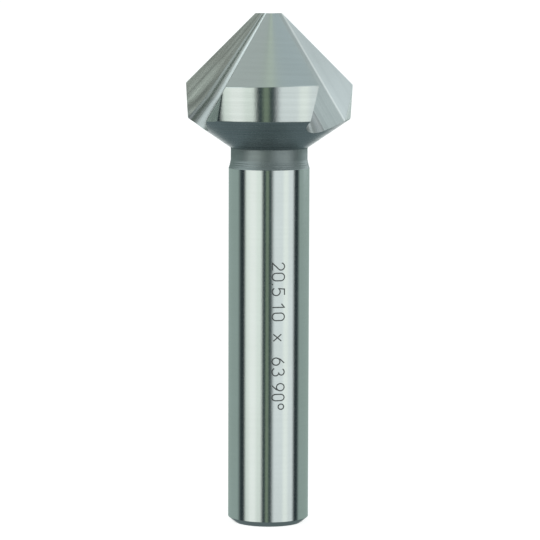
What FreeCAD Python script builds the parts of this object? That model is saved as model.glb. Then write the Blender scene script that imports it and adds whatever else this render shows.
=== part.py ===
import FreeCAD, Part
import math
import os
from enum import IntEnum

import Sketcher

# Countersink bit for a drill chuck: one piece of tool steel, turned to shape, with three ground flutes.
# Millimetres. The bit stands on its shank end: origin at the centre of that end face, +Z to the nose.
# Angles in the plan view grow anticlockwise seen from the nose, and 0 is the +X axis.

NODE_NAME = "countersink_bit"

# name, value, meaning
SIZES = (
    ("overall_length", 63.0, "shank end to nose"),
    ("shank_diameter", 10.0, "cylinder held by the chuck"),
    ("shank_end_chamfer", 0.6, "45 degree chamfer on the shank end"),
    ("neck_diameter", 9.46, "undercut between shank and head"),
    ("neck_length", 1.45, "straight part of the undercut"),
    ("run_out_length", 1.05, "taper from neck to shank"),
    ("head_diameter", 20.5, "largest cut, at the lower end of the cutting edges"),
    ("land_back_diameter", 20.0, "lower end of the band, which tapers back"),
    ("land_width", 4.37, "height of the band around the head"),
    ("back_angle", 55.7, "back cone to the axis"),
    ("cone_angle", 90.0, "full angle of the cutting cone"),
    ("nose_diameter", 3.5, "flat nose"),
    ("flute_count", 3, "cutting edges and flutes"),
    ("first_edge_angle", -54.45, "plan angle of the first cutting edge"),
    ("rake_angle", 12.5, "rake face to the radius at its edge"),
    ("floor_angle", 70.0, "flute floor to the radius at the edge"),
    ("heel_angle", 84.0, "heel facet to the radius at the edge"),
    ("ridge_reach", 0.58, "floor and heel ridge at the nose, along the edge radius"),
    ("ridge_side", 1.49, "the same ridge at the nose, square to the edge radius"),
    ("ridge_splay", 0.588, "growth of the ridge reach for each mm below the nose"),
    ("ridge_drift", 0.306, "growth of the ridge side for each mm below the nose"),
    ("root_radius", 0.65, "fillet in the root of the flute at the nose"),
    ("root_growth", 0.155, "growth of that fillet for each mm below the nose"),
    ("flute_lead", 1.0, "the flute cutter starts this far above the nose"),
    ("relief_offset", 0.255, "eccentric offset that lowers the cone towards each heel"),
    ("relief_lead", 25.0, "plan angle from the edge to the direction of that offset"),
    ("flat_depth", 0.285, "flat on the heel corner of the band, below the radius of the band's middle"),
    ("flat_lead", 35.3, "plan angle from the edge to the direction that this flat faces"),
    ("flat_rise", 1.5, "the flat's cutter reaches this far above and below the band"),
)

# Values that follow from the sizes above, as expressions on the sheet
CONE_HEIGHT = "(sizes.head_diameter - sizes.nose_diameter) / 2 / tan(sizes.cone_angle * 0.5 * 1 deg)"
BACK_HEIGHT = "(sizes.land_back_diameter - sizes.neck_diameter) / 2 / tan(sizes.back_angle * 1 deg)"
CONE_LEVEL = f"(sizes.overall_length - {CONE_HEIGHT})"
BAND_LEVEL = f"({CONE_LEVEL} - sizes.land_width)"
BACK_LEVEL = f"({BAND_LEVEL} - {BACK_HEIGHT})"
NECK_LEVEL = f"({BACK_LEVEL} - sizes.neck_length)"
SHANK_LEVEL = f"({NECK_LEVEL} - sizes.run_out_length)"
CUTTER_REACH = "sizes.head_diameter"
FLAT_REACH = "((sizes.head_diameter + sizes.land_back_diameter) / 4 - sizes.flat_depth)"


class Axis(IntEnum):
    """The sketch's own axes, as geometry numbers."""

    HORIZONTAL = -1
    VERTICAL = -2


class Point(IntEnum):
    """The ends of a curve, as point numbers."""

    START = 1
    END = 2


def make_sheet(document):
    """Spreadsheet with one row for each size: meaning, value with its alias."""
    sheet = document.addObject("Spreadsheet::Sheet", "sizes")
    for row, (alias, value, meaning) in enumerate(SIZES, start=1):
        sheet.set(f"A{row}", meaning)
        sheet.set(f"B{row}", str(value))
        sheet.setAlias(f"B{row}", alias)
    document.recompute()
    return sheet


def origin_feature(body, role):
    """Plane or axis of the body's own origin."""
    return next(item for item in body.Origin.OriginFeatures if item.Role == role)


def add_sketch(body, name, role):
    """Empty sketch on one of the body's origin planes."""
    sketch = body.newObject("Sketcher::SketchObject", name)
    sketch.AttachmentSupport = [(origin_feature(body, role), "")]
    sketch.MapMode = "FlatFace"
    return sketch


def constrain(sketch, kind, *where, expression=None):
    """Add a constraint, and bind its value to an expression if one is given."""
    index = sketch.addConstraint(Sketcher.Constraint(kind, *where))
    if expression is not None:
        sketch.setExpression(f"Constraints[{index}]", expression)
    return index


def value_of(sketch, expression):
    """Present value of an expression, as a plain number."""
    value = sketch.evalExpression(expression)
    return float(getattr(value, "Value", value))


def add_outline(sketch, corners):
    """Closed outline of straight lines; each corner is a pair of expressions."""
    points = [FreeCAD.Vector(value_of(sketch, x), value_of(sketch, y), 0) for x, y in corners]
    count = len(points)
    for index in range(count):
        sketch.addGeometry(Part.LineSegment(points[index], points[(index + 1) % count]), False)
    for index in range(count):
        constrain(sketch, "Coincident", index, Point.END, (index + 1) % count, Point.START)
    for index, (x, y) in enumerate(corners):
        if x == "0":
            constrain(sketch, "PointOnObject", index, Point.START, Axis.VERTICAL)
        else:
            constrain(sketch, "DistanceX", index, Point.START, points[index].x, expression=x)
        if y == "0":
            constrain(sketch, "PointOnObject", index, Point.START, Axis.HORIZONTAL)
        else:
            constrain(sketch, "DistanceY", index, Point.START, points[index].y, expression=y)


def turn_blank(body):
    """Shank, neck, back cone, band and cutting cone as one turned profile."""
    sketch = add_sketch(body, "blank_profile", "XZ_Plane")
    add_outline(sketch, (
        ("0", "0"),
        ("sizes.shank_diameter / 2 - sizes.shank_end_chamfer", "0"),
        ("sizes.shank_diameter / 2", "sizes.shank_end_chamfer"),
        ("sizes.shank_diameter / 2", SHANK_LEVEL),
        ("sizes.neck_diameter / 2", NECK_LEVEL),
        ("sizes.neck_diameter / 2", BACK_LEVEL),
        ("sizes.land_back_diameter / 2", BAND_LEVEL),
        ("sizes.head_diameter / 2", CONE_LEVEL),
        ("sizes.nose_diameter / 2", "sizes.overall_length"),
        ("0", "sizes.overall_length"),
    ))
    blank = body.newObject("PartDesign::Revolution", "blank")
    blank.Profile = sketch
    blank.ReferenceAxis = (sketch, ["V_Axis"])
    blank.Angle = 360
    body.Document.recompute()
    return blank


def relieve_cone(body):
    """Lower the cone from one cutting edge towards its heel, with a cone turned about an offset axis."""
    sketch = add_sketch(body, "relief_profile", "XZ_Plane")
    offset_angle = "(sizes.first_edge_angle + sizes.relief_lead)"
    sketch.AttachmentOffset = FreeCAD.Placement(
        FreeCAD.Vector(), FreeCAD.Rotation(FreeCAD.Vector(0, 1, 0), 1)
    )
    sketch.setExpression("AttachmentOffset.Base.x", f"sizes.relief_offset * cos({offset_angle} * 1 deg)")
    sketch.setExpression("AttachmentOffset.Base.z", f"-sizes.relief_offset * sin({offset_angle} * 1 deg)")
    sketch.setExpression(
        "AttachmentOffset.Rotation.Angle",
        f"{offset_angle} - 180 / sizes.flute_count",
    )
    slope = "tan(sizes.cone_angle * 0.5 * 1 deg)"
    nose_radius = "(sizes.nose_diameter / 2 - sizes.relief_offset * cos(sizes.relief_lead * 1 deg))"
    top = "(sizes.overall_length + sizes.nose_diameter / 4)"
    bottom = f"({CONE_LEVEL} - sizes.land_width / 2)"
    add_outline(sketch, (
        (f"{nose_radius} - sizes.nose_diameter / 4 * {slope}", top),
        (f"{nose_radius} + ({CONE_HEIGHT} + sizes.land_width / 2) * {slope}", bottom),
        (CUTTER_REACH, bottom),
        (CUTTER_REACH, top),
    ))
    body.Document.recompute()
    relief = body.newObject("PartDesign::Groove", "cone_relief")
    relief.Profile = sketch
    relief.ReferenceAxis = (sketch, ["V_Axis"])
    relief.Midplane = True
    relief.setExpression("Angle", "360 / sizes.flute_count")
    body.Document.recompute()
    return relief


def flute_section(body, name, drop):
    """Section of the flute cutter, drop mm below the nose.

    The sketch has its x axis along the radius to the cutting edge. The rake face runs from beyond the
    edge to the root fillet, then come the floor, the ridge, and the heel facet out to beyond the heel.
    """
    sketch = add_sketch(body, name, "XY_Plane")
    sketch.AttachmentOffset = FreeCAD.Placement(
        FreeCAD.Vector(), FreeCAD.Rotation(FreeCAD.Vector(0, 0, 1), 1)
    )
    sketch.setExpression("AttachmentOffset.Base.z", f"sizes.overall_length - {drop}")
    sketch.setExpression("AttachmentOffset.Rotation.Angle", "sizes.first_edge_angle")

    edge = f"(sizes.nose_diameter / 2 + {drop} * tan(sizes.cone_angle * 0.5 * 1 deg))"
    ridge_x = f"(sizes.ridge_reach + sizes.ridge_splay * {drop})"
    ridge_y = f"(sizes.ridge_side + sizes.ridge_drift * {drop})"
    radius = f"(sizes.root_radius + sizes.root_growth * {drop})"

    # The same points worked out here, so that the solver starts at its solution
    rake, floor, heel = (
        math.radians(value_of(sketch, f"sizes.{item}_angle")) for item in ("rake", "floor", "heel")
    )
    reach = value_of(sketch, CUTTER_REACH)
    edge_point = FreeCAD.Vector(value_of(sketch, edge), 0, 0)
    ridge = FreeCAD.Vector(value_of(sketch, ridge_x), value_of(sketch, ridge_y), 0)
    root_radius = value_of(sketch, radius)
    along_rake = FreeCAD.Vector(math.cos(rake), math.sin(rake), 0)
    along_floor = FreeCAD.Vector(math.cos(floor), math.sin(floor), 0)
    along_heel = FreeCAD.Vector(math.cos(heel), math.sin(heel), 0)
    off_rake = FreeCAD.Vector(-math.sin(rake), math.cos(rake), 0)
    off_floor = FreeCAD.Vector(math.sin(floor), -math.cos(floor), 0)
    turn = math.sin(floor - rake)
    from_rake = edge_point.dot(off_rake) + root_radius
    from_floor = ridge.dot(off_floor) + root_radius
    centre = (along_floor * from_rake + along_rake * from_floor) * (1 / turn)
    rake_end = centre - off_rake * root_radius
    floor_start = centre - off_floor * root_radius
    rake_out = edge_point + along_rake * ((reach - edge_point.x) / along_rake.x)
    heel_out = ridge + along_heel * ((reach - ridge.y) / along_heel.y)
    fillet_middle = centre - (off_rake + off_floor).normalize() * root_radius

    rake_line = sketch.addGeometry(Part.LineSegment(rake_end, rake_out), False)
    fillet = sketch.addGeometry(Part.Arc(rake_end, fillet_middle, floor_start), False)
    floor_line = sketch.addGeometry(Part.LineSegment(floor_start, ridge), False)
    heel_line = sketch.addGeometry(Part.LineSegment(ridge, heel_out), False)
    outside = sketch.addGeometry(Part.LineSegment(heel_out, rake_out), False)
    edge_mark = sketch.addGeometry(Part.Point(edge_point), True)

    # The arc runs anticlockwise about its centre, so its start is on the floor side
    constrain(sketch, "Tangent", fillet, Point.START, floor_line, Point.START)
    constrain(sketch, "Tangent", fillet, Point.END, rake_line, Point.START)
    constrain(sketch, "Coincident", floor_line, Point.END, heel_line, Point.START)
    constrain(sketch, "Coincident", heel_line, Point.END, outside, Point.START)
    constrain(sketch, "Coincident", outside, Point.END, rake_line, Point.END)
    constrain(sketch, "Radius", fillet, root_radius, expression=radius)
    constrain(sketch, "Angle", rake_line, rake, expression="sizes.rake_angle * 1 deg")
    constrain(sketch, "Angle", floor_line, floor, expression="sizes.floor_angle * 1 deg")
    constrain(sketch, "Angle", heel_line, heel, expression="sizes.heel_angle * 1 deg")
    constrain(sketch, "PointOnObject", edge_mark, Point.START, Axis.HORIZONTAL)
    constrain(sketch, "DistanceX", edge_mark, Point.START, edge_point.x, expression=edge)
    constrain(sketch, "PointOnObject", edge_mark, Point.START, rake_line)
    constrain(sketch, "DistanceX", floor_line, Point.END, ridge.x, expression=ridge_x)
    constrain(sketch, "DistanceY", floor_line, Point.END, ridge.y, expression=ridge_y)
    constrain(sketch, "DistanceX", rake_line, Point.END, reach, expression=CUTTER_REACH)
    constrain(sketch, "DistanceY", heel_line, Point.END, reach, expression=CUTTER_REACH)
    return sketch


def grind_flute(body):
    """One flute: a straight loft from above the nose to below the place where it leaves the back cone."""
    upper = flute_section(body, "flute_at_nose", "(-sizes.flute_lead)")
    lower = flute_section(body, "flute_at_neck", f"({CONE_HEIGHT} + sizes.land_width + {BACK_HEIGHT})")
    body.Document.recompute()
    flute = body.newObject("PartDesign::SubtractiveLoft", "flute")
    flute.Profile = upper
    flute.Sections = [lower]
    flute.Ruled = True
    body.Document.recompute()
    return flute


def grind_heel_flat(body):
    """Flat along the axis that takes off the corner between the band and the flute's heel facet."""
    sketch = add_sketch(body, "heel_flat_profile", "XY_Plane")
    sketch.AttachmentOffset = FreeCAD.Placement(
        FreeCAD.Vector(), FreeCAD.Rotation(FreeCAD.Vector(0, 0, 1), 1)
    )
    sketch.setExpression("AttachmentOffset.Base.z", f"{CONE_LEVEL} + sizes.flat_rise")
    sketch.setExpression("AttachmentOffset.Rotation.Angle", "sizes.first_edge_angle + sizes.flat_lead")
    half = "sizes.head_diameter / 4"
    add_outline(sketch, (
        (FLAT_REACH, f"-{half}"),
        (CUTTER_REACH, f"-{half}"),
        (CUTTER_REACH, half),
        (FLAT_REACH, half),
    ))
    body.Document.recompute()
    flat = body.newObject("PartDesign::Pocket", "heel_flat")
    flat.Profile = sketch
    flat.setExpression("Length", "sizes.land_width + 2 * sizes.flat_rise")
    body.Document.recompute()
    return flat


def repeat_around(body, features):
    """Repeat the relief, the flute and the flat once for each cutting edge."""
    pattern = body.newObject("PartDesign::PolarPattern", "edges_and_flutes")
    pattern.Originals = features
    pattern.Axis = (origin_feature(body, "Z_Axis"), [""])
    pattern.Angle = 360
    pattern.setExpression("Occurrences", "sizes.flute_count")
    body.Tip = pattern
    body.Document.recompute()
    return pattern


def check(document, body, steps):
    """Stop if an object failed, if a cut removed nothing, or if the result is not one valid solid."""
    for item in document.Objects:
        if "Invalid" in item.State or "Error" in item.State:
            raise RuntimeError(f"{item.Name} failed: {item.State}")
    volumes = [step.Shape.Volume for step in steps]
    if any(after >= before for before, after in zip(volumes, volumes[1:])):
        raise RuntimeError(f"a cut removed nothing: {volumes}")
    shape = body.Shape
    if shape.isNull() or not shape.isValid() or len(shape.Solids) != 1:
        raise RuntimeError("the bit is not one valid solid")


def main():
    document = FreeCAD.newDocument("countersink")
    make_sheet(document)
    body = document.addObject("PartDesign::Body", "bit")
    body.Label = NODE_NAME
    blank = turn_blank(body)
    relief = relieve_cone(body)
    flute = grind_flute(body)
    flat = grind_heel_flat(body)
    pattern = repeat_around(body, [relief, flute, flat])
    document.recompute()
    check(document, body, [blank, relief, flute, flat, pattern])
    os.makedirs("parts", exist_ok=True)
    body.Shape.exportStep(f"parts/{body.Label}.step")
    box = body.Shape.BoundBox
    print(f"{body.Label}: {body.Shape.Volume:.1f} mm3, {box.XLength:.2f} x {box.YLength:.2f} x {box.ZLength:.2f}")


main()
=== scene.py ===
import logging
import math
from dataclasses import dataclass, field
from enum import Enum

import bmesh
import bpy
import numpy as np
from mathutils import Matrix


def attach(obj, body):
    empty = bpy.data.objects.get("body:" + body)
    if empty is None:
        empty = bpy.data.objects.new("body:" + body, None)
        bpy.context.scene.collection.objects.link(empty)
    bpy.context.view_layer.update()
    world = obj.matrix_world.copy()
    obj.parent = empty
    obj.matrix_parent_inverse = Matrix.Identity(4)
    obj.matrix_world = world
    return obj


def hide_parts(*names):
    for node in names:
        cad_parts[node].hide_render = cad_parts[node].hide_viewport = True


# A countersink bit standing on its shank end: origin at the centre of that face, +Z to the nose.
# Lengths are in millimetres until a mesh is written. Plan angles are in degrees, anticlockwise seen
# from the nose, with 0 on the +X axis.

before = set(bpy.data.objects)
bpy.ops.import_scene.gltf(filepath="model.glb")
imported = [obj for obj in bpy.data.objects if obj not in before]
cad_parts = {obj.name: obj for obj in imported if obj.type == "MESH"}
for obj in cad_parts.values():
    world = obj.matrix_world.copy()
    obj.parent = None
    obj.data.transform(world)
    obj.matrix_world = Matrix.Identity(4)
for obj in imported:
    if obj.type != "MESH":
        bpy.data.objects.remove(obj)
MILLIMETRE = 0.001
log = logging.getLogger("countersink")

Triple = tuple[float, float, float]
Quadruple = tuple[float, float, float, float]


class Zone(Enum):
    """Regions of the bit that were machined in different ways; the value is the material's place."""

    SHANK = 0
    NECK = 1
    BACK = 2
    BAND = 3
    CONE = 4
    RAKE = 5
    ROOT = 6
    FLOOR = 7
    FLAT = 8


class Segment(Enum):
    """Parts of the flute's section in order, from the cutting edge round to the heel."""

    RAKE = 0
    ROOT = 1
    FLOOR = 2
    RIDGE = 3
    HEEL = 4


# Shader maths


class Shade:
    """A shader socket with operators, so that node maths reads like ordinary maths."""

    def __init__(self, tree: bpy.types.NodeTree, socket: bpy.types.NodeSocket | float) -> None:
        """Wrap a socket, or a plain number, of the given node tree."""
        self.tree = tree
        self.socket = socket

    def add(self, kind: str, inputs: dict[int | str, object], output: int | str = 0,
            **settings: object) -> "Shade":
        """Add any node, link or set its inputs, and wrap one of its outputs.

        Args:
            kind: Blender's name of the node type, such as "ShaderNodeMath".
            inputs: values or wrapped sockets by input name or number.
            output: name or number of the output to return.
            settings: properties of the node.

        Returns:
            The wrapped output socket.
        """
        node = self.tree.nodes.new(kind)
        for name, value in settings.items():
            setattr(node, name, value)
        for key, value in inputs.items():
            if isinstance(value, Shade):
                value = value.socket
            if isinstance(value, bpy.types.NodeSocket):
                self.tree.links.new(value, node.inputs[key])
            else:
                node.inputs[key].default_value = value
        return Shade(self.tree, node.outputs[output])

    def maths(self, operation: str, *others: "Shade | float") -> "Shade":
        """One Math node on this socket and the others."""
        return self.add("ShaderNodeMath", dict(enumerate((self, *others))), operation=operation)

    def __add__(self, other: "Shade | float") -> "Shade":
        """Sum."""
        return self.maths("ADD", other)

    def __sub__(self, other: "Shade | float") -> "Shade":
        """Difference."""
        return self.maths("SUBTRACT", other)

    def __mul__(self, other: "Shade | float") -> "Shade":
        """Product."""
        return self.maths("MULTIPLY", other)

    def __neg__(self) -> "Shade":
        """Negative."""
        return self * -1.0

    def __rsub__(self, other: float) -> "Shade":
        """Difference with this socket on the right."""
        return -self + other

    __radd__ = __add__
    __rmul__ = __mul__

    def ramp(self, low: float, high: float, to_low: float = 0.0, to_high: float = 1.0) -> "Shade":
        """Smooth step from to_low at low to to_high at high."""
        return self.add("ShaderNodeMapRange", {0: self, 1: low, 2: high, 3: to_low, 4: to_high},
                        interpolation_type="SMOOTHSTEP", clamp=True)

    def window(self, rise: float, full: float, fall: float, end: float) -> "Shade":
        """0 up to rise, 1 from full to fall, and 0 again after end, with smooth steps between."""
        return self.ramp(rise, full) * self.ramp(fall, end, 1.0, 0.0)

    def mix(self, first: object, second: object) -> "Shade":
        """Colour that goes from the first to the second as this factor goes from 0 to 1."""
        return self.add("ShaderNodeMix", {0: self, 6: first, 7: second}, output=2, data_type="RGBA")

    def scaled(self, factor: "Shade | float") -> "Shade":
        """This colour or vector times a number."""
        return self.add("ShaderNodeVectorMath", {0: self, "Scale": factor}, operation="SCALE")

    def stretched(self, scale: Triple) -> "Shade":
        """This vector with each part times its own number."""
        return self.add("ShaderNodeVectorMath", {0: self, 1: scale}, operation="MULTIPLY")

    def split(self) -> list["Shade"]:
        """The x, y and z parts of this vector."""
        node = self.add("ShaderNodeSeparateXYZ", {0: self}).socket.node
        return [Shade(self.tree, output) for output in node.outputs]

    def noise(self, scale: float, detail: float, roughness: float = 0.5) -> "Shade":
        """Noise over this place, mostly between 0.3 and 0.7."""
        return self.add("ShaderNodeTexNoise", {"Vector": self, "Scale": scale, "Detail": detail,
                                               "Roughness": roughness})


def colour(red: float, green: float, blue: float) -> Quadruple:
    """A linear colour from its red, green and blue parts."""
    return (red, green, blue, 1.0)


# Finishes


def new_material(name: str) -> tuple[bpy.types.Material, Shade]:
    """Empty node material.

    Args:
        name: name of the material.

    Returns:
        The material and a wrapped number in its node tree, from which nodes are added.
    """
    material = bpy.data.materials.new(name)
    material.use_nodes = True
    material.node_tree.nodes.clear()
    return material, Shade(material.node_tree, 0.0)


def finish_tree(shader: Shade, kind: str = "ShaderNodeOutputMaterial") -> None:
    """Link a shader to a new output node of its tree."""
    output = shader.tree.nodes.new(kind)
    shader.tree.links.new(shader.socket, output.inputs["Surface"])


@dataclass(frozen=True)
class GroundSteel:
    """Bright tool steel with the fine marks that its wheel or lathe tool left.

    The marks are noise stretched along the direction of the cut: round the axis on turned and
    cylindrically ground places, along the flute in the flutes. The coarse marks are longer and wider
    than the fine ones by coarseness, and make up coarse_share of the relief. A finer grain breaks up
    the borders of the reflections, and wide patches vary the tone. Depths, pitches, lengths and sizes
    are in millimetres. The ranges are the noise values at which each pattern is at its least and most.

    Each streak is one darker or lighter line along a flute: its place on the section at the nose, its
    drift per millimetre, its half width and the share of light that it takes away or, if negative,
    adds; the lighter ones are painted highlights. The fade is the tone's share near the nose, at the
    band's foot and at the very end of the flute: painted light and shade that makes the flute's
    reflections dimmer or brighter along it. fade_run and end_run say how far below the nose it changes.
    """

    name: str
    tone: Triple
    patch_tone: Triple
    roughness: float
    roughness_spread: float
    mark_depth: float
    mark_pitch: float = 0.06
    mark_length: float = 5.0
    mark_tone: float = 0.03
    mark_range: tuple[float, float] = (0.3, 0.7)
    coarseness: float = 4.0
    coarse_share: float = 0.7
    grain_depth: float = 0.003
    grain_size: float = 0.16
    grain_range: tuple[float, float] = (0.35, 0.65)
    patch_size: float = 6.25
    patch_range: tuple[float, float] = (0.35, 0.7)
    slant: float = 0.0
    along_flute: bool = False
    scores: tuple[Quadruple, ...] = ()
    fade: Triple = (1.0, 1.0, 1.0)
    fade_run: tuple[float, float] = (3.0, 12.0)
    end_run: tuple[float, float] = (11.2, 12.4)

    def make(self) -> bpy.types.Material:
        """Build the material.

        Returns:
            The finished material, with its constants set on the shader's own sockets.
        """
        material, start = new_material(self.name)
        place = start.add("ShaderNodeTexCoord", {}, output="Object")
        coarse, fine = self.marks(start, place)
        grain = place.noise(1.0 / (self.grain_size * MILLIMETRE), detail=2.0)
        patches = place.noise(1.0 / (self.patch_size * MILLIMETRE), detail=3.0)

        tone = patches.ramp(*self.patch_range).mix(colour(*self.tone), colour(*self.patch_tone))
        tone = tone.scaled(coarse.ramp(*self.mark_range, 1.0 - self.mark_tone, 1.0 + self.mark_tone))
        if self.along_flute:
            tone = self.paint_fade_and_streaks(start, tone)

        spread = self.roughness_spread
        rough = fine.ramp(*self.mark_range, self.roughness - spread, self.roughness + spread)
        rough = rough + grain.ramp(*self.grain_range, -0.5 * spread, 0.5 * spread)

        marks = coarse * self.coarse_share + fine * (1.0 - self.coarse_share)
        height = marks * (self.mark_depth * MILLIMETRE) + grain * (self.grain_depth * MILLIMETRE)
        bump = start.add("ShaderNodeBump", {"Strength": 1.0, "Distance": 1.0, "Height": height})
        finish_tree(start.add("ShaderNodeBsdfPrincipled", {
            "Base Color": tone, "Metallic": 1.0, "Roughness": rough, "Normal": bump,
        }))
        return material

    def marks(self, start: Shade, place: Shade) -> tuple[Shade, Shade]:
        """Coarse and fine tool marks as two noise fields.

        Args:
            start: wrapped node tree of the material.
            place: object coordinates in metres.

        Returns:
            The coarse and the fine field, each from 0 to 1.
        """
        across, along = 1.0 / self.mark_pitch, 1.0 / self.mark_length
        if self.along_flute:
            place = start.add("ShaderNodeUVMap", {}, uv_map="flute")
            scale = (across, along, 1.0)
        else:
            scale = (along / MILLIMETRE, along / MILLIMETRE, across / MILLIMETRE)
        if self.slant:
            x, y, z = place.split()
            place = start.add("ShaderNodeCombineXYZ", {0: x, 1: y, 2: z + x * self.slant})
        coarse = place.stretched(tuple(item / self.coarseness for item in scale))
        fields = coarse, place.stretched(scale)
        return tuple(item.noise(scale=1.0, detail=3.0, roughness=0.6) for item in fields)

    def paint_fade_and_streaks(self, start: Shade, tone: Shade) -> Shade:
        """Paint light along the flute: the fade, and the streaks, whose lighter ones are painted
        highlights.

        Args:
            start: wrapped node tree of the material.
            tone: the colour without them.

        Returns:
            The colour with them.
        """
        across, down, _ = start.add("ShaderNodeUVMap", {}, uv_map="flute").split()
        nose, foot, end = self.fade
        # painted light and shade: the tone is scaled down the flute so that its reflections dim or brighten
        tone = tone.scaled(down.ramp(*self.fade_run, nose, foot))
        tone = tone.scaled(down.ramp(*self.end_run, 1.0, end / foot))
        # darker and lighter lines along the flute; a negative share makes a painted highlight
        for begin, drift, width, share in self.scores:
            off = (across - down * drift - begin).maths("ABSOLUTE")
            tone = tone.scaled(off.ramp(0.0, width, 1.0 - share, 1.0))
        return tone


@dataclass(frozen=True)
class MarkInk:
    """Dark line burnt into the steel by a marking laser: a matt oxide that varies along the line."""

    name: str = "burnt_mark"
    tone: Triple = (0.075, 0.08, 0.08)
    tone_spread: tuple[float, float] = (0.7, 1.5)
    roughness: float = 0.5
    roughness_spread: float = 0.1
    relief: float = 0.002

    def make(self) -> bpy.types.Material:
        """Build the material.

        Returns:
            The finished material.
        """
        material, start = new_material(self.name)
        grain = start.add("ShaderNodeTexCoord", {}, output="Object").noise(scale=3500.0, detail=3.0)
        dark, pale = (colour(*(share * item for item in self.tone)) for share in self.tone_spread)
        spread = self.roughness_spread
        rough = grain.ramp(0.3, 0.7, self.roughness - spread, self.roughness + spread)
        height = grain * (self.relief * MILLIMETRE)
        bump = start.add("ShaderNodeBump", {"Strength": 0.5, "Distance": 1.0, "Height": height})
        finish_tree(start.add("ShaderNodeBsdfPrincipled", {
            "Base Color": grain.ramp(0.3, 0.7).mix(dark, pale), "Metallic": 0.3,
            "Roughness": rough, "Normal": bump,
        }))
        return material


# Shapes


def turn_faces_outwards(mesh: bpy.types.Mesh, seam: float = 0.0) -> None:
    """Turn all faces of a closed mesh outwards.

    Args:
        mesh: the mesh.
        seam: points nearer to each other than this, in metres, are joined first.
    """
    build = bmesh.new()
    build.from_mesh(mesh)
    if seam:
        bmesh.ops.remove_doubles(build, verts=build.verts, dist=seam)
    bmesh.ops.recalc_face_normals(build, faces=build.faces)
    build.to_mesh(mesh)
    build.free()


def new_object(name: str, data: bpy.types.ID) -> bpy.types.Object:
    """Object of a mesh or a camera, put in the scene."""
    item = bpy.data.objects.new(name, data)
    bpy.context.scene.collection.objects.link(item)
    return item


@dataclass
class Patches:
    """Grids and rings of points gathered into one closed mesh."""

    seam: float = 0.0002
    sharp_angle: float = 28.0
    points: list[np.ndarray] = field(default_factory=list)
    faces: list[tuple[int, ...]] = field(default_factory=list)
    places: list[tuple[float, float]] = field(default_factory=list)
    zones: list[int] = field(default_factory=list)
    count: int = 0

    def grid(self, points: np.ndarray, zone: Zone, chart: np.ndarray | None = None) -> None:
        """Add a grid of quads.

        Args:
            points: positions, rows by columns by 3.
            zone: the region whose material the faces take.
            chart: flat coordinates of the same points for patterns, rows by columns by 2.
        """
        rows, columns = points.shape[:2]
        index = self.count + np.arange(rows * columns).reshape(rows, columns)
        quads = np.stack([index[:-1, :-1], index[1:, :-1], index[1:, 1:], index[:-1, 1:]], -1)
        quads = quads.reshape(-1, 4)
        if chart is None:
            chart = np.zeros((rows, columns, 2))
        self.points.append(points.reshape(-1, 3))
        self.faces.extend(map(tuple, quads.tolist()))
        self.places.extend(map(tuple, chart.reshape(-1, 2)[quads.ravel() - self.count].tolist()))
        self.zones.extend([zone.value] * len(quads))
        self.count += rows * columns

    def cap(self, ring: np.ndarray, zone: Zone) -> None:
        """Add one flat face.

        Args:
            ring: positions of its outline.
            zone: the region whose material it takes.
        """
        self.points.append(ring)
        self.faces.append(tuple(range(self.count, self.count + len(ring))))
        self.places.extend([(0.0, 0.0)] * len(ring))
        self.zones.append(zone.value)
        self.count += len(ring)

    def mesh(self, name: str) -> bpy.types.Mesh:
        """Join the patches along their seams and turn all faces outwards.

        Args:
            name: name of the mesh.

        Returns:
            The closed mesh in metres.
        """
        mesh = bpy.data.meshes.new(name)
        points = np.concatenate(self.points) * MILLIMETRE
        mesh.from_pydata(points.tolist(), [], self.faces)
        mesh.polygons.foreach_set("material_index", np.array(self.zones, np.int32))
        layer = mesh.uv_layers.new(name="flute")
        layer.data.foreach_set("uv", np.array(self.places, np.float32).ravel())
        turn_faces_outwards(mesh, self.seam * MILLIMETRE)
        mesh.polygons.foreach_set("use_smooth", np.ones(len(mesh.polygons), bool))
        mesh.set_sharp_from_angle(angle=math.radians(self.sharp_angle))
        mesh.update()
        return mesh


def turn_about_axis(points: np.ndarray, angle: float) -> np.ndarray:
    """Points turned about the Z axis by an angle in degrees: the plane rotation of x and y."""
    c, s = math.cos(math.radians(angle)), math.sin(math.radians(angle))
    x, y = points[..., 0], points[..., 1]
    return np.stack([c * x - s * y, s * x + c * y, points[..., 2]], -1)


def along_line(angle: float) -> np.ndarray:
    """Unit vector in the plan direction of an angle in radians."""
    return np.array([math.cos(angle), math.sin(angle)])


def left_of_line(angle: float) -> np.ndarray:
    """Unit vector square to that direction, on its left."""
    return np.array([-math.sin(angle), math.cos(angle)])


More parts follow.
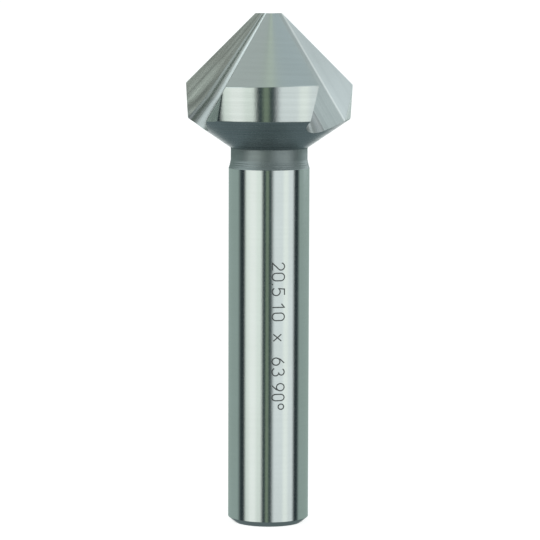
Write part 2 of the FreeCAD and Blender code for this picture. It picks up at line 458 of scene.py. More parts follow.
@dataclass
class Flute:
    """One ground flute, in axes that follow its cutting edge: x outwards, y in the cutting direction.

    The section at each height is a path from outside the edge along the rake face, round the root
    fillet, up the floor, over the ridge and out along the heel facet. A number from 0 to 5 says how
    far along the path a point lies: the whole part is the segment. The ridge moves outwards by its
    splay and sideways by its drift for each millimetre below the nose. The root's radius grows too,
    and grows faster where the flute runs out. The path starts and ends outside the bit, by overrun
    beyond the edge and by heel_reach beyond the ridge.
    """

    overall: float = 63.0
    nose_radius: float = 1.75
    rake: float = 12.5
    floor: float = 70.0
    heel: float = 85.2
    ridge_reach: float = 0.58
    ridge_side: float = 1.49
    ridge_splay: float = 0.588
    ridge_drift: float = 0.306
    ridge_round: float = 1.6
    root_radius: float = 0.57
    root_growth: float = 0.136
    run_out_growth: float = 0.11
    run_out_drop: float = 10.5
    run_out_length: float = 3.2
    overrun: float = 2.0
    heel_reach: float = 14.0

    def root(self, drop: np.ndarray) -> np.ndarray:
        """Radius of the root fillet at a distance below the nose; it opens a little at the run-out."""
        run_out = np.clip(drop - self.run_out_drop, 0, self.run_out_length)
        return self.root_radius + self.root_growth * drop + self.run_out_growth * run_out

    def path(self, height: np.ndarray, along: np.ndarray) -> np.ndarray:
        """Points of the section path.

        Each straight part is a blend of its two end points. The root is an arc tangent to the rake
        line and the floor line; the ridge is a small arc tangent to the floor line and the heel line.

        Args:
            height: height above the shank end.
            along: place on the path, from 0 to 5, with the shape of height.

        Returns:
            Plan positions, with one more axis of length 2.
        """
        rake, floor, heel = (math.radians(item) for item in (self.rake, self.floor, self.heel))
        drop = self.overall - height
        edge = self.nose_radius + drop
        ridge_x = self.ridge_reach + self.ridge_splay * drop
        ridge_y = self.ridge_side + self.ridge_drift * drop
        radius = self.root(drop)
        from_rake = -edge * math.sin(rake) + radius
        from_floor = ridge_x * math.sin(floor) - ridge_y * math.cos(floor) + radius
        turn = math.sin(floor - rake)
        centre = np.stack([
            (math.cos(floor) * from_rake + math.cos(rake) * from_floor) / turn,
            (math.sin(floor) * from_rake + math.sin(rake) * from_floor) / turn,
        ], -1)
        radius = radius[..., None]
        step = along[..., None]

        def passed(segment: Segment) -> np.ndarray:
            """Share of a segment that lies before the place, from 0 to 1."""
            return np.clip(step - segment.value, 0, 1)

        outside = np.stack([edge, np.zeros_like(edge)], -1) + self.overrun * along_line(rake)
        rake_end = centre - radius * left_of_line(rake)
        rake_line = outside + (rake_end - outside) * passed(Segment.RAKE)
        beta = rake - math.pi / 2 - passed(Segment.ROOT) * (math.pi - (floor - rake))
        root = centre + radius * np.concatenate([np.cos(beta), np.sin(beta)], -1)

        half = (heel - floor) / 2
        inner = np.stack([ridge_x, ridge_y], -1)
        inner = inner + left_of_line(floor + half) * self.ridge_round / math.cos(half)
        floor_start = centre + radius * left_of_line(floor)
        floor_end = inner - self.ridge_round * left_of_line(floor)
        floor_line = floor_start + (floor_end - floor_start) * passed(Segment.FLOOR)
        alpha = floor + passed(Segment.RIDGE) * (heel - floor)
        ridge = inner + self.ridge_round * np.concatenate([np.sin(alpha), -np.cos(alpha)], -1)
        heel_start = inner - self.ridge_round * left_of_line(heel)
        heel_line = heel_start + self.heel_reach * passed(Segment.HEEL) * along_line(heel)
        return np.select([step < segment.value + 1 for segment in Segment],
                         [rake_line, root, floor_line, ridge, heel_line], heel_line)

    def plan_angle(self, height: np.ndarray, along: np.ndarray) -> np.ndarray:
        """Plan angle of points of the path, in degrees from the cutting edge."""
        point = self.path(height, along)
        return np.degrees(np.arctan2(point[..., 1], point[..., 0]))

    def deepest(self, height: np.ndarray) -> np.ndarray:
        """Place on the path that is nearest to the axis, which is on the root arc.

        Args:
            height: height above the shank end.

        Returns:
            The place on the path for each height.
        """
        rake, floor = math.radians(self.rake), math.radians(self.floor)
        start = self.path(height, np.full_like(height, Segment.ROOT.value))
        centre = start + self.root(self.overall - height)[..., None] * left_of_line(rake)
        towards = np.arctan2(-centre[..., 1], -centre[..., 0])
        share = (rake - math.pi / 2 - towards) / (math.pi - (floor - rake))
        return Segment.ROOT.value + np.clip(share, 0.001, 0.999)


@dataclass
class CountersinkBit:
    """The bit itself: shank, neck, back cone, band and cutting cone with three flutes, one solid.

    The searches are heights between which the flute's corners and its lowest point run out. The blends
    are the widths over which two faces of the head pass into each other, as a fine rounded edge.
    """

    node: str = "countersink_bit"
    overall: float = 63.0
    shank_radius: float = 5.0
    shank_top: float = 44.035
    end_chamfer: float = 0.6
    end_round: float = 0.12
    end_round_rise: float = 0.07
    end_break: tuple[float, float] = (0.015, 0.02)
    neck_radius: float = 4.73
    neck_low: float = 45.085
    neck_high: float = 46.535
    neck_fillet: float = 0.1
    flare_power: float = 0.7
    turned_rings: int = 4
    ring_depth: float = 0.012
    back_slope: float = 1.4659
    band_low: float = 50.13
    band_low_radius: float = 10.0
    band_top: float = 54.5
    band_top_radius: float = 10.25
    cone_edge: float = 54.38
    nose_radius: float = 1.75
    relief_offset: float = 0.255
    relief_lead: float = 25.0
    flat_distance: float = 9.84
    flat_angle: float = -84.7
    flat_half_span: float = 60.0
    flat_fade: float = 0.4
    cone_blend: float = 0.05
    back_blend: float = 0.07
    flat_blend: float = 0.02
    edge_angle: float = -54.45
    flute_count: int = 3
    exit_search: tuple[float, float] = (46.8, 50.0)
    corner_search: tuple[float, float] = (46.8, 54.0)
    halvings: int = 50
    least_row_gap: float = 0.002
    land_columns: int = 72
    flat_columns: int = 8
    segment_columns: tuple[int, ...] = (6, 22, 8, 4, 8)
    flute: Flute = field(default_factory=Flute)

    @property
    def pitch(self) -> float:
        """Plan angle from one cutting edge to the next."""
        return 360 / self.flute_count

    @property
    def taper(self) -> float:
        """Growth of the band's radius for each millimetre upwards."""
        return (self.band_top_radius - self.band_low_radius) / (self.band_top - self.band_low)

    @property
    def flat_low(self) -> float:
        """Height at which the heel flat runs out on the back cone."""
        return self.band_low - (self.band_low_radius - self.flat_distance) / self.back_slope

    @staticmethod
    def least(one: np.ndarray, two: np.ndarray, blend: float) -> np.ndarray:
        """Smooth least of two radii: half their sum less half the root of difference and blend squared."""
        return (one + two - np.sqrt((one - two) ** 2 + blend**2)) / 2

    def surface(self, height: np.ndarray, angle: np.ndarray) -> np.ndarray:
        """Radius of the head before the flutes are ground.

        The smooth least of four: the relieved cutting cone, which is a cone about a slightly offset
        axis; the band; the back cone; and the small flat ground behind the heel.

        Args:
            height: height above the shank end.
            angle: plan angle in degrees from the land's own cutting edge.

        Returns:
            The radius at each point.
        """
        lead = math.radians(self.relief_lead)
        offset = self.relief_offset
        cone = self.nose_radius - offset * math.cos(lead) + self.overall - height
        away = np.radians(angle) - lead
        cone = offset * np.cos(away) + np.sqrt(cone**2 - (offset * np.sin(away)) ** 2)
        band = self.band_low_radius + (height - self.band_low) * self.taper
        back = self.band_low_radius + (height - self.band_low) * self.back_slope
        plain = self.least(self.least(cone, band, self.cone_blend), back, self.back_blend)
        off = np.clip(angle - self.flat_angle, -self.flat_half_span, self.flat_half_span)
        return self.least(plain, self.flat_distance / np.cos(np.radians(off)), self.flat_blend)

    def beyond(self, height: np.ndarray, along: np.ndarray, heel_side: bool) -> np.ndarray:
        """How far a point of the flute's path lies outside the head.

        Args:
            height: height above the shank end.
            along: place on the path.
            heel_side: measure against the land on the heel's side, whose edge is one pitch further on.

        Returns:
            The distance at each point, negative inside the head.
        """
        point = self.flute.path(height, along)
        own = self.flute.plan_angle(height, along) - (self.pitch if heel_side else 0)
        return np.hypot(point[..., 0], point[..., 1]) - self.surface(height, own)

    def crossing(self, height: np.ndarray, heel_side: bool) -> np.ndarray:
        """Place on the flute's path where it leaves the head.

        Args:
            height: height above the shank end.
            heel_side: True for the heel, False for the cutting edge.

        Returns:
            The place on the path for each height.
        """
        inside = self.flute.deepest(height)
        outside = np.full_like(height, len(Segment) if heel_side else 0.0)
        for _ in range(self.halvings):
            middle = (inside + outside) / 2
            out = self.beyond(height, middle, heel_side) > 0
            outside, inside = np.where(out, middle, outside), np.where(out, inside, middle)
        return (inside + outside) / 2

    def solve_height(self, start: Segment | None, heel_side: bool, search: tuple[float, float]) -> float:
        """Height at which a given place on the path lies on the head's surface.

        Args:
            start: segment whose first point is the place, or None for the path's deepest place.
            heel_side: as for beyond.
            search: height where the place is outside the head and height where it is inside.

        Returns:
            The height.
        """
        low, high = search
        for _ in range(self.halvings):
            middle = np.array([(low + high) / 2])
            place = self.flute.deepest(middle) if start is None else np.array([float(start.value)])
            if self.beyond(middle, place, heel_side)[0] > 0:
                low = middle[0]
            else:
                high = middle[0]
        return (low + high) / 2

    def flat_border(self, rows: np.ndarray, first: np.ndarray) -> np.ndarray:
        """Plan angle of the heel flat's far border on each row.

        Args:
            rows: falling heights.
            first: plan angle of the land's start, at the heel, on each row.

        Returns:
            The angles; below the flat they run back to the start of the land.
        """
        slope = np.where(rows > self.band_low, self.taper, self.back_slope)
        radius = self.band_low_radius + (rows - self.band_low) * slope
        spread = np.degrees(np.arccos(np.clip(self.flat_distance / radius, -1, 1)))
        border = np.maximum(first, self.flat_angle + spread)
        border = np.where(rows > self.band_top, first, border)
        fade = np.clip(1 - (self.flat_low - rows) / self.flat_fade, 0, 1)
        return first + (border - first) * fade

    def head_rows(self, exit_height: float) -> np.ndarray:
        """Heights of the head's rows, closer together at its corners and where the flutes run out.

        Args:
            exit_height: the lowest height that a flute reaches.

        Returns:
            Falling heights from the nose to the exit.
        """
        corners = [
            self.solve_height(start, heel_side, self.corner_search)
            for start, heel_side in ((Segment.ROOT, False), (Segment.FLOOR, True),
                                     (Segment.RIDGE, True), (Segment.HEEL, True))
        ]
        top, low = self.band_top, self.band_low
        run_out = low - 0.22
        rows = np.concatenate([
            np.linspace(self.overall, top + 0.16, 26),
            np.linspace(top + 0.13, top - 0.36, 18),
            np.linspace(top - 0.5, low + 0.25, 26),
            np.linspace(low + 0.16, low - 0.16, 17),
            exit_height + (run_out - exit_height) * np.linspace(1, 0, 26) ** 2,
            corners,
            [self.flat_low],
        ])
        rows = np.sort(rows)[::-1]
        keep = np.concatenate([[True], -np.diff(rows) > self.least_row_gap])
        for height in (*corners, exit_height):
            keep[self.nearest(rows, height)] = True
        return rows[keep]

    @staticmethod
    def nearest(rows: np.ndarray, height: float) -> int:
        """Index of the row that is nearest to a height."""
        return int(np.argmin(np.abs(rows - height)))

    def land(self, rows: np.ndarray, entry: np.ndarray, leave: np.ndarray) -> tuple[np.ndarray, np.ndarray]:
        """One land, from the heel of the flute before it to its own cutting edge.

        Args:
            rows: falling heights.
            entry: place on the flute's path at the cutting edge, on each row.
            leave: place at the heel.

        Returns:
            Its points and its chart: distance from the heel and distance below the nose.
        """
        first = self.flute.plan_angle(rows, leave) - self.pitch
        last = self.flute.plan_angle(rows, entry)
        border = self.flat_border(rows, first)
        flat_share = np.linspace(0, 1, self.flat_columns + 1)[:-1]
        land_share = np.linspace(0, 1, self.land_columns + 1)
        angle = np.concatenate([first[:, None] + (border - first)[:, None] * flat_share,
                                border[:, None] + (last - border)[:, None] * land_share], 1)
        height = np.repeat(rows[:, None], angle.shape[1], 1)
        radius = self.surface(height, angle)
        turn = np.radians(angle)
        points = np.stack([radius * np.cos(turn), radius * np.sin(turn), height], -1)
        heel = np.concatenate([self.flute.path(rows, leave), rows[:, None]], -1)
        points[:, 0] = turn_about_axis(heel, -self.pitch)
        points[:, -1, :2] = self.flute.path(rows, entry)
        return points, np.stack([radius * np.radians(angle - first[:, None]), self.overall - height], -1)

    def strip(self, segment: Segment, rows: np.ndarray, entry: np.ndarray,
              leave: np.ndarray) -> tuple[np.ndarray, np.ndarray]:
        """One segment of the flute from the nose to the run-out.

        Args:
            segment: the segment; where a row doesn't reach it, its points fall together.
            rows: falling heights.
            entry: place on the flute's path at the cutting edge, on each row.
            leave: place at the heel.

        Returns:
            Its points and its chart: place on the path and distance below the nose.
        """
        begin, end = segment.value, segment.value + 1
        low = np.minimum(np.clip(entry, begin, end), leave)
        high = np.maximum(np.maximum(np.clip(leave, begin, end), entry), low)
        step = np.linspace(0, 1, self.segment_columns[segment.value] + 1)
        along = low[:, None] + (high - low)[:, None] * step
        along = np.clip(along, begin, np.nextafter(end, begin))
        along = np.clip(along, entry[:, None], leave[:, None])
        height = np.repeat(rows[:, None], len(step), 1)
        points = np.concatenate([self.flute.path(height, along), height[..., None]], -1)
        return points, np.stack([along, self.overall - height], -1)

    def add_land(self, patches: Patches, rows: np.ndarray, points: np.ndarray, chart: np.ndarray) -> None:
        """Add a land as cone, band, heel flat and back cone.

        Args:
            patches: the mesh parts to add to.
            rows: falling heights.
            points: the land's points.
            chart: its chart.
        """
        edges = (self.cone_edge, self.band_low, self.flat_low)
        cone, low, flat = (self.nearest(rows, height) for height in edges)
        columns = self.flat_columns
        patches.grid(points[: cone + 1], Zone.CONE)
        patches.grid(points[cone: low + 1, columns:], Zone.BAND)
        patches.grid(points[low:, columns:], Zone.BACK)
        patches.grid(points[cone: flat + 1, : columns + 1], Zone.FLAT, chart[cone: flat + 1, : columns + 1])
        patches.grid(points[flat:, : columns + 1], Zone.BACK)

    def head(self, patches: Patches) -> tuple[float, float]:
        """Lands and flutes from the nose down to where the flutes run out.

        Args:
            patches: the mesh parts to add to.

        Returns:
            The plan angle and the height at which the first flute runs out.
        """
        exit_height = self.solve_height(None, True, self.exit_search)
        rows = self.head_rows(exit_height)
        entry, leave = self.crossing(rows, False), self.crossing(rows, True)
        entry[-1] = leave[-1] = self.flute.deepest(rows[-1:])[0]
        land, land_chart = self.land(rows, entry, leave)
        zones = {Segment.RAKE: Zone.RAKE, Segment.ROOT: Zone.ROOT}
        strips = [(zones.get(segment, Zone.FLOOR), *self.strip(segment, rows, entry, leave))
                  for segment in Segment]
        nose = []
        for index in range(self.flute_count):
            turn = self.edge_angle + self.pitch * index
            turned = turn_about_axis(land, turn)
            self.add_land(patches, rows, turned, land_chart)
            nose.append(turned[0])
            for zone, points, chart in strips:
                turned = turn_about_axis(points, turn)
                patches.grid(turned, zone, chart)
                nose.append(turned[0])
        ring = np.concatenate(nose)
        apart = np.linalg.norm(ring - np.roll(ring, 1, 0), axis=1) > 1e-4
        patches.cap(ring[apart], Zone.CONE)
        log.info("head: %d rows, flutes run out at %.2f mm", len(rows), exit_height)
        return float(self.flute.plan_angle(rows, entry)[-1]) + self.edge_angle, exit_height

    def profiles(self, exit_height: float) -> list[tuple[Zone, np.ndarray]]:
        """Outline below the flutes, as radius against height.

        Args:
            exit_height: height at which it starts on the back cone.

        Returns:
            The back cone, the neck, its flare with the rings of the lathe tool, and the shank with
            its chamfered end, each from the top down.
        """
        neck, high, low, fillet = self.neck_radius, self.neck_high, self.neck_low, self.neck_fillet
        shank, chamfer = self.shank_radius, self.end_chamfer
        back_radius = float(self.surface(np.array([exit_height]), np.array([0.0]))[0])
        back_foot = (neck + fillet, high + fillet / self.back_slope)
        neck_foot = (neck, low + fillet)
        waist = [back_foot, (neck + 0.05, high + 0.02), (neck + 0.015, high - 0.04), (neck, high - 0.12),
                 (neck, low + 0.6), neck_foot]

        rings = np.linspace(low, self.shank_top, 44)
        share = (rings - self.shank_top) / (low - self.shank_top)
        flare = shank - (shank - neck) * share**self.flare_power
        waves = np.cos(2 * math.pi * share * self.turned_rings) * np.sin(math.pi * share)
        flare = flare + self.ring_depth * waves

        corner = np.radians(np.linspace(0, 45, 5))
        end = shank - chamfer
        rise, inset = self.end_break
        foot = np.concatenate([
            np.linspace((shank, self.shank_top), (shank, chamfer + 0.1), 30),
            np.stack([shank - self.end_round * (1 - np.cos(corner)),
                      chamfer + self.end_round_rise - self.end_round * np.sin(corner)], -1),
            [(end + rise, rise), (end - inset, 0.0)],
            np.linspace((end - 0.2, 0.0), (0.0, 0.0), 9),
        ])
        return [
            (Zone.BACK, np.linspace((back_radius, exit_height), back_foot, 10)),
            (Zone.NECK, np.array(waist)),
            (Zone.NECK, np.concatenate([[neck_foot], np.stack([flare, rings], -1)])),
            (Zone.SHANK, foot),
        ]

    def turned(self, patches: Patches, start_angle: float, exit_height: float) -> None:
        """Everything below the flutes: the profiles turned about the axis.

        Args:
            patches: the mesh parts to add to.
            start_angle: plan angle of the first column, where a flute runs out.
            exit_height: height of the first row.
        """
        columns = self.land_columns * self.flute_count
        angle = np.radians(start_angle + 360 * np.arange(columns + 1) / columns)
        for zone, profile in self.profiles(exit_height):
            radius, height = profile[:, :1], profile[:, 1:]
            patches.grid(np.stack([radius * np.cos(angle), radius * np.sin(angle),
                                   height + 0 * angle], -1), zone)

    def build(self) -> bpy.types.Object:
        """Make the bit, dress it and let it stand for the CAD solid.

        Returns:
            The finished object.
        """
        patches = Patches()
        start_angle, exit_height = self.head(patches)
        self.turned(patches, start_angle, exit_height)
        mesh = patches.mesh("countersink_steel")
        piece = new_object("countersink_steel", mesh)
        for finish in self.finishes():
            mesh.materials.append(finish.make())
        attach(piece, "root")
        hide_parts(self.node)
        log.info("%s: %d faces, %d open edges", piece.name, len(mesh.polygons), self.open_edges(mesh))
        return piece

    @staticmethod
    def open_edges(mesh: bpy.types.Mesh) -> int:
        """Number of edges that don't join exactly two faces."""
        uses = np.zeros(len(mesh.loops), np.int32)
        mesh.loops.foreach_get("edge_index", uses)
        return int(np.sum(np.bincount(uses, minlength=len(mesh.edges)) != 2))

    @staticmethod
    def finishes() -> list[GroundSteel]:
        """One finish for each zone.

        Returns:
            The finishes in the order of the zones.
        """
        steel, warm = (0.62, 0.645, 0.635), (0.605, 0.63, 0.615)
        turned, worn = (0.53, 0.58, 0.59), (0.48, 0.525, 0.535)
        return [
            GroundSteel("shank_ground_steel", steel, warm, 0.125, 0.015, 0.00015, mark_tone=0.012,
                        grain_depth=0.002, grain_size=0.17),
            # neck: its high roughness is the real turned finish, but its dark tone is painted shade for the
            # head's shadow on it
            GroundSteel("neck_turned_steel_painted_shade", (0.29, 0.32, 0.32), (0.24, 0.265, 0.27), 0.46, 0.05,
                        0.003, 0.1, 8.0),
            GroundSteel("back_turned_steel", turned, worn, 0.3, 0.05, 0.0025, 0.09, 10.0,
                        mark_tone=0.07, grain_depth=0.001),
            GroundSteel("band_ground_steel", (0.595, 0.62, 0.605), (0.58, 0.605, 0.59), 0.125, 0.02,
                        0.0005, mark_tone=0.04, grain_depth=0.0035, grain_size=0.17),
            GroundSteel("cone_ground_steel", steel, warm, 0.24, 0.02, 0.0004, 0.08, 4.0,
                        mark_tone=0.015, grain_depth=0.0004, slant=0.03),
            # the fades of the rake, root and floor are painted light and shade along the flute; the rake's
            # lighter streak is a painted highlight
            GroundSteel("rake_ground_steel", (0.52, 0.52, 0.485), (0.45, 0.435, 0.40), 0.25, 0.03,
                        0.0007, 0.05, 20.0, mark_tone=0.16, grain_depth=0.0005, along_flute=True,
                        scores=((0.885, -0.030, 0.05, 0.24), (0.95, -0.022, 0.05, -0.14),
                                (0.99, -0.008, 0.09, 0.12), (1.40, -0.050, 0.14, 0.34)),
                        fade=(0.87, 1.02, 1.62)),
            GroundSteel("root_ground_steel", (0.46, 0.475, 0.475), (0.43, 0.44, 0.435), 0.29, 0.03,
                        0.0008, 0.05, 20.0, mark_tone=0.08, grain_depth=0.0005, along_flute=True,
                        fade=(1.26, 0.86, 0.84)),
            GroundSteel("floor_ground_steel", (0.62, 0.64, 0.63), (0.58, 0.6, 0.585), 0.2, 0.03,
                        0.0006, 0.05, 20.0, mark_tone=0.06, grain_depth=0.0004, along_flute=True,
                        fade=(0.90, 1.04, 1.04)),
            # the flat's lighter streak, with its negative share, is a painted highlight
            GroundSteel("flat_ground_steel", (0.56, 0.58, 0.56), (0.44, 0.47, 0.45), 0.28, 0.05,
                        0.001, 0.3, 9.0, mark_tone=0.22, grain_depth=0.001, along_flute=True,
                        scores=((0.0, 0.0, 0.14, 0.35), (0.27, 0.0, 0.07, -0.5))),
        ]


def arc(centre: tuple[float, float], across: float, tall: float, start: float, end: float,
        count: int = 18) -> np.ndarray:
    """Points of an ellipse's arc.

    Args:
        centre: its middle.
        across: its half width.
        tall: its half height.
        start: first angle in degrees, anticlockwise from the line of reading.
        end: last angle.
        count: number of points.

    Returns:
        The points.
    """
    turn = np.radians(np.linspace(start, end, count))
    return np.stack([centre[0] + across * np.cos(turn), centre[1] + tall * np.sin(turn)], -1)


@dataclass
class SizeMark:
    """Plain numbers burnt along the shank: the head's diameter, the shank and length, and the angle.

    They read down the shank. Each sign is drawn in a box from 0 to 1, x along the line of reading and
    y upwards, as centre lines that become thin closed ribbons set in the shank's surface. A sign's two
    numbers are the heights at which its box starts and ends; baseline and top are the plan angles, from
    the camera's side, of the box's foot and head.
    """

    radius: float = 5.0
    proud: float = 0.003
    sunk: float = 0.02
    stroke: float = 0.15
    longest_step: float = 0.12
    mitre_limit: float = 0.6
    baseline: float = 5.0
    top: float = 22.6
    signs: tuple[tuple[str, float, float], ...] = (
        ("2", 32.793, 31.85), ("0", 31.494, 30.574), (".", 30.22, 30.05), ("5", 29.69, 28.744),
        ("1", 27.75, 27.25), ("0", 26.60, 25.68), ("x", 24.0, 23.15), ("6", 21.10, 20.17),
        ("3", 19.79, 18.85), ("9", 17.921, 16.993), ("0", 16.572, 15.791), ("o", 15.36, 14.703),
    )

    @staticmethod
    def lines(sign: str) -> list[tuple[np.ndarray, bool]]:
        """Centre lines of one sign.

        Args:
            sign: the sign, with "o" for the degree ring.

        Returns:
            Points in the sign's box and whether the line is closed, for each line.
        """
        oblong = np.concatenate([arc((0.5, 0.7), 0.5, 0.3, 0, 180), arc((0.5, 0.3), 0.5, 0.3, 180, 360)])
        two = np.concatenate([arc((0.5, 0.71), 0.46, 0.29, 170, -38), [[0.03, 0.0], [1.0, 0.0]]])
        three = np.concatenate([arc((0.48, 0.765), 0.42, 0.235, 155, -75),
                                arc((0.48, 0.28), 0.5, 0.28, 75, -160)])
        five = np.concatenate([[[0.92, 1.0], [0.16, 1.0], [0.08, 0.52]],
                               arc((0.48, 0.32), 0.5, 0.32, 125, -150)])
        closed = {
            "0": oblong,
            "6": arc((0.5, 0.32), 0.48, 0.32, 0, 360, 33)[:-1],
            "9": arc((0.5, 0.68), 0.48, 0.32, 0, 360, 33)[:-1],
            "o": arc((0.5, 0.736), 0.5, 0.232, 0, 360, 33)[:-1],
        }
        drawn = {
            "1": [[[0.0, 0.74], [0.9, 1.0], [0.9, 0.0]]],
            "2": [two],
            "3": [three],
            "5": [five],
            "6": [[[0.06, 0.42], [0.2, 0.66], [0.72, 1.0]]],
            "9": [[[0.94, 0.58], [0.8, 0.34], [0.28, 0.0]]],
            "x": [[[0.0, 0.1], [1.0, 0.75]], [[0.0, 0.75], [1.0, 0.1]]],
            ".": [[[0.0, 0.02], [1.0, 0.0]]],
        }
        rings = [(closed[sign], True)] if sign in closed else []
        return rings + [(np.array(line), False) for line in drawn.get(sign, [])]

    def short_steps(self, line: np.ndarray, closed: bool) -> np.ndarray:
        """Put more points on a line, so that its ribbon follows the round surface.

        Args:
            line: points as distance round the shank and height.
            closed: whether the line's end joins its start.

        Returns:
            The line with short steps.
        """
        ends = np.roll(line, -1, 0) if closed else line[1:]
        points = []
        for start, end in zip(line, ends):
            count = max(1, math.ceil(np.linalg.norm(end - start) / self.longest_step))
            points.extend(start + (end - start) * index / count for index in range(count))
        if not closed:
            points.append(line[-1])
        return np.array(points)

    def ribbon(self, line: np.ndarray, closed: bool,
               first: int) -> tuple[np.ndarray, list[tuple[int, ...]]]:
        """Closed ribbon along a centre line on the shank.

        Args:
            line: points as distance round the shank and height.
            closed: whether the line's end joins its start.
            first: index of the ribbon's first point in the whole mesh.

        Returns:
            Points in space, four at each point of the line, and faces.
        """
        ahead, behind = np.roll(line, -1, 0) - line, line - np.roll(line, 1, 0)
        if not closed:
            ahead[-1], behind[0] = behind[-1], ahead[0]
        ahead = ahead / np.linalg.norm(ahead, axis=1, keepdims=True)
        behind = behind / np.linalg.norm(behind, axis=1, keepdims=True)
        mean = ahead + behind
        mean = mean / np.maximum(np.linalg.norm(mean, axis=1, keepdims=True), 1e-6)
        stretch = np.clip(np.sum(mean * ahead, 1, keepdims=True), self.mitre_limit, 1)
        side = np.stack([-mean[:, 1], mean[:, 0]], -1) * self.stroke / 2 / stretch
        outer, inner = self.radius + self.proud, self.radius - self.sunk
        rings = []
        for offset, radius in ((side, outer), (-side, outer), (-side, inner), (side, inner)):
            place = line + offset
            turn = place[:, 0] / self.radius
            rings.append(np.stack([radius * np.sin(turn), -radius * np.cos(turn), place[:, 1]], -1))
        points = np.stack(rings, 1).reshape(-1, 3)

        count = len(line)
        corners = len(rings)
        faces = []
        for index in range(count if closed else count - 1):
            this, following = first + corners * index, first + corners * ((index + 1) % count)
            for corner in range(corners):
                other = (corner + 1) % corners
                faces.append((this + corner, following + corner, following + other, this + other))
        if not closed:
            end = first + corners * (count - 1)
            faces.append(tuple(first + corner for corner in range(corners)))
            faces.append(tuple(end + corner for corner in reversed(range(corners))))
        return points, faces

    def build(self) -> bpy.types.Object:
        """Make all the signs as one piece.

        Returns:
            The finished object.
        """
        points, faces, count = [], [], 0
        for sign, start, end in self.signs:
            for line, closed in self.lines(sign):
                turn = np.radians(self.baseline + (self.top - self.baseline) * line[:, 1])
                place = np.stack([turn * self.radius, start + (end - start) * line[:, 0]], -1)
                some, more = self.ribbon(self.short_steps(place, closed), closed, count)
                points.append(some)
                faces.extend(more)
                count += len(some)
        mesh = bpy.data.meshes.new("size_mark")
        mesh.from_pydata((np.concatenate(points) * MILLIMETRE).tolist(), [], faces)
        turn_faces_outwards(mesh)
        mesh.materials.append(MarkInk().make())
        mark = new_object("size_mark", mesh)
        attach(mark, "root")
        log.info("size mark: %d faces", len(mesh.polygons))
        return mark


# Studio


@dataclass(frozen=True)
class LightField:
    """One soft part of the studio seen from the bit: a panel, a gap, the ceiling or the ground.

    Azimuths are in degrees from the camera's side (-Y) towards +X; elevations are above the horizon.
    Each range is given as where the field starts, where it is full, where it begins to fall and where
    it ends. A range that isn't given takes in every direction.
    """

    tone: Triple
    azimuth: Quadruple = (-401.0, -400.0, 400.0, 401.0)
    elevation: Quadruple = (-201.0, -200.0, 200.0, 201.0)


@dataclass(frozen=True)
class CeilingSlot:
    """A narrow band of the ceiling over the camera's line of sight, given by a direction's x part."""

    tone: Triple
    across: Quadruple


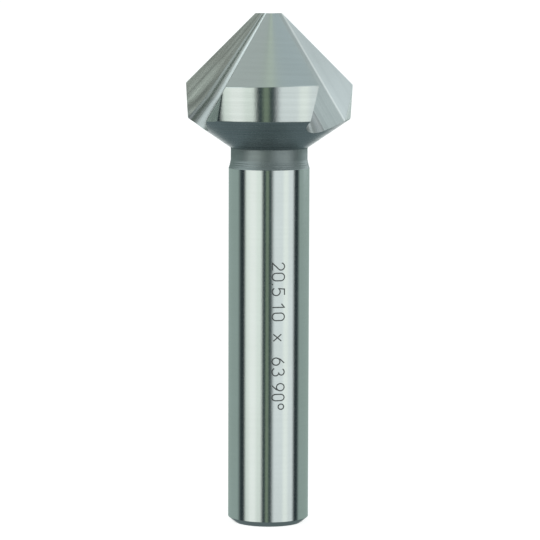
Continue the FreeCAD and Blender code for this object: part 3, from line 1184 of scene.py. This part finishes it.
@dataclass
class Studio:
    """Pale floor, soft light all round and the camera at the photograph's angle.

    The slots are seen above slot_elevation only. What lies behind the bit, within the two ranges of
    that name, is mirrored as plain white.
    """

    distance: float = 345.0
    camera_height: float = 68.9
    focal_pixels: float = 2807.0
    tilt: float = 6.2088
    pan: float = 0.025
    roll: float = 0.19
    image_width: int = 540
    backdrop: Triple = (0.37, 0.47, 0.44)
    fields: tuple[LightField, ...] = (
        LightField((0.52, 0.585, 0.575), elevation=(20, 34, 200, 201)),
        LightField((0.144, 0.186, 0.194), elevation=(-201, -200, -30, -18)),
        LightField((0.03, 0.045, 0.05), (-101, -84, 88, 101), (-33, -19, 12, 26)),
        LightField((0.05, 0.075, 0.08), (-18, -13, 5, 9), (-36, -20, 12, 26)),
        LightField((0.245, 0.32, 0.235), (-11, -6, -2.5, 2.5), (-36, -20, 12, 26)),
        LightField((1.06, 1.16, 1.09), (-77, -64, -24, -14), (-30, -6, 6, 20)),
        LightField((1.19, 1.25, 1.21), (-63, -51, -42, -30), (-30, -6, 4, 18)),
        LightField((1.40, 1.58, 1.58), (-118, -100, -46, -32), (9, 17, 38, 50)),
        LightField((0.98, 1.06, 1.07), (4, 18, 69, 81), (-32, -8, 14, 26)),
        LightField((1.14, 1.22, 1.17), (38, 46, 52, 62), (-30, -6, 12, 22)),
        LightField((0.49, 0.585, 0.61), (10, 60, 400, 401), (48, 58, 200, 201)),
        LightField((0.54, 0.63, 0.645), (6, 20, 38, 48), (24, 34, 54, 66)),
        LightField((0.82, 0.92, 0.95), (42, 52, 84, 100), (26, 36, 54, 66)),
        LightField((1.18, 1.27, 1.28), (44, 52, 60, 70), (36, 40, 54, 64)),
        LightField((1.40, 1.53, 1.56), (108, 122, 150, 161), (-3.4, -2.6, 30, 44)),
    )
    slots: tuple[CeilingSlot, ...] = (
        CeilingSlot((0.44, 0.51, 0.48), (-0.16, -0.09, 0.04, 0.06)),
        CeilingSlot((0.66, 0.78, 0.64), (-0.06, -0.045, 0.02, 0.04)),
    )
    slot_elevation: tuple[float, float] = (42.0, 50.0)
    behind_azimuth: tuple[float, float] = (163.0, 172.0)
    behind_elevation: Quadruple = (-32.0, -22.0, 24.0, 34.0)
    floor_radius: float = 8000.0
    floor_corners: int = 96
    floor_tones: tuple[float, float] = (0.34, 0.36)
    floor_glow: float = 0.85

    def world(self) -> None:
        """Light the scene from all sides.

        Each field is a soft window in azimuth and elevation, laid over the ones before it. The camera
        sees plain white, and so does the metal where it mirrors what lies behind the bit.
        """
        world = bpy.data.worlds.new("studio")
        world.use_nodes = True
        bpy.context.scene.world = world
        tree = world.node_tree
        tree.nodes.clear()
        start = Shade(tree, 0.0)
        x, y, z = start.add("ShaderNodeTexCoord", {}, output="Generated").split()
        azimuth = x.maths("ARCTAN2", -y) * math.degrees(1)
        elevation = z.maths("ARCSINE") * math.degrees(1)
        tone: Shade | Quadruple = colour(*self.backdrop)
        for item in self.fields:
            inside = azimuth.window(*item.azimuth) * elevation.window(*item.elevation)
            tone = inside.mix(tone, colour(*item.tone))
        for slot in self.slots:
            inside = x.window(*slot.across) * elevation.ramp(*self.slot_elevation)
            tone = inside.mix(tone, colour(*slot.tone))
        behind = azimuth.maths("ABSOLUTE").ramp(*self.behind_azimuth)
        behind = behind * elevation.window(*self.behind_elevation)
        glossy = start.add("ShaderNodeLightPath", {}, output="Is Glossy Ray")
        camera = start.add("ShaderNodeLightPath", {}, output="Is Camera Ray")
        white = (camera + glossy * behind).maths("MINIMUM", 1.0)
        tone = white.mix(tone, colour(1, 1, 1))
        light = start.add("ShaderNodeBackground", {"Color": tone, "Strength": 1.0})
        finish_tree(light, "ShaderNodeOutputWorld")

    def floor(self) -> bpy.types.Object:
        """A wide pale floor that glows nearly white and takes the bit's soft shadow.

        Returns:
            The floor's object.
        """
        material, start = new_material("pale_floor")
        place = start.add("ShaderNodeTexCoord", {}, output="Object")
        shade = place.noise(scale=40.0, detail=2.0).ramp(0.2, 0.8, *self.floor_tones)
        tone = start.add("ShaderNodeCombineColor", {0: shade, 1: shade, 2: shade})
        body = start.add("ShaderNodeBsdfDiffuse", {"Color": tone})
        glow = start.add("ShaderNodeEmission", {"Color": colour(1, 1, 1), "Strength": self.floor_glow})
        finish_tree(start.add("ShaderNodeAddShader", {0: body, 1: glow}))

        mesh = bpy.data.meshes.new("floor")
        angle = np.radians(np.arange(self.floor_corners) * 360 / self.floor_corners)
        ring = np.stack([np.cos(angle), np.sin(angle), 0 * angle], -1) * self.floor_radius * MILLIMETRE
        mesh.from_pydata(ring.tolist(), [], [tuple(range(self.floor_corners))])
        mesh.materials.append(material)
        floor = new_object("floor", mesh)
        floor.visible_glossy = False
        floor.visible_shadow = False
        return floor

    def camera(self) -> bpy.types.Object:
        """Camera fitted to the photograph: pan about the vertical, then tilt, then roll.

        Returns:
            The camera's object.
        """
        tilt, pan, roll = (math.radians(item) for item in (self.tilt, self.pan, self.roll))
        level = np.array([math.sin(pan), math.cos(pan), 0.0])
        vertical = np.array([0.0, 0.0, 1.0])
        forward = math.cos(tilt) * level - math.sin(tilt) * vertical
        up = math.sin(tilt) * level + math.cos(tilt) * vertical
        right = np.array([math.cos(pan), -math.sin(pan), 0.0])
        c, s = math.cos(roll), math.sin(roll)
        right, up = c * right + s * up, c * up - s * right
        data = bpy.data.cameras.new("camera")
        data.sensor_width = 36.0
        data.lens = self.focal_pixels * data.sensor_width / self.image_width
        data.clip_start, data.clip_end = 0.01, 100.0
        camera = new_object("camera", data)
        basis = np.eye(4)
        basis[:3, 0], basis[:3, 1], basis[:3, 2] = right, up, -forward
        basis[:3, 3] = 0.0, -self.distance * MILLIMETRE, self.camera_height * MILLIMETRE
        camera.matrix_world = Matrix(basis.tolist())
        bpy.context.scene.camera = camera
        return camera

    def build(self) -> None:
        """Set the camera, the light and the floor."""
        self.camera()
        self.world()
        self.floor()
        bpy.context.scene.view_settings.view_transform = "Standard"
        log.info("studio: %d light fields", len(self.fields))


def main() -> None:
    """Build the studio and the bit."""
    logging.basicConfig(level=logging.INFO, format="%(message)s")
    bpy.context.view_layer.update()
    Studio().build()
    CountersinkBit().build()
    SizeMark().build()


if __name__ == "__main__":
    main()
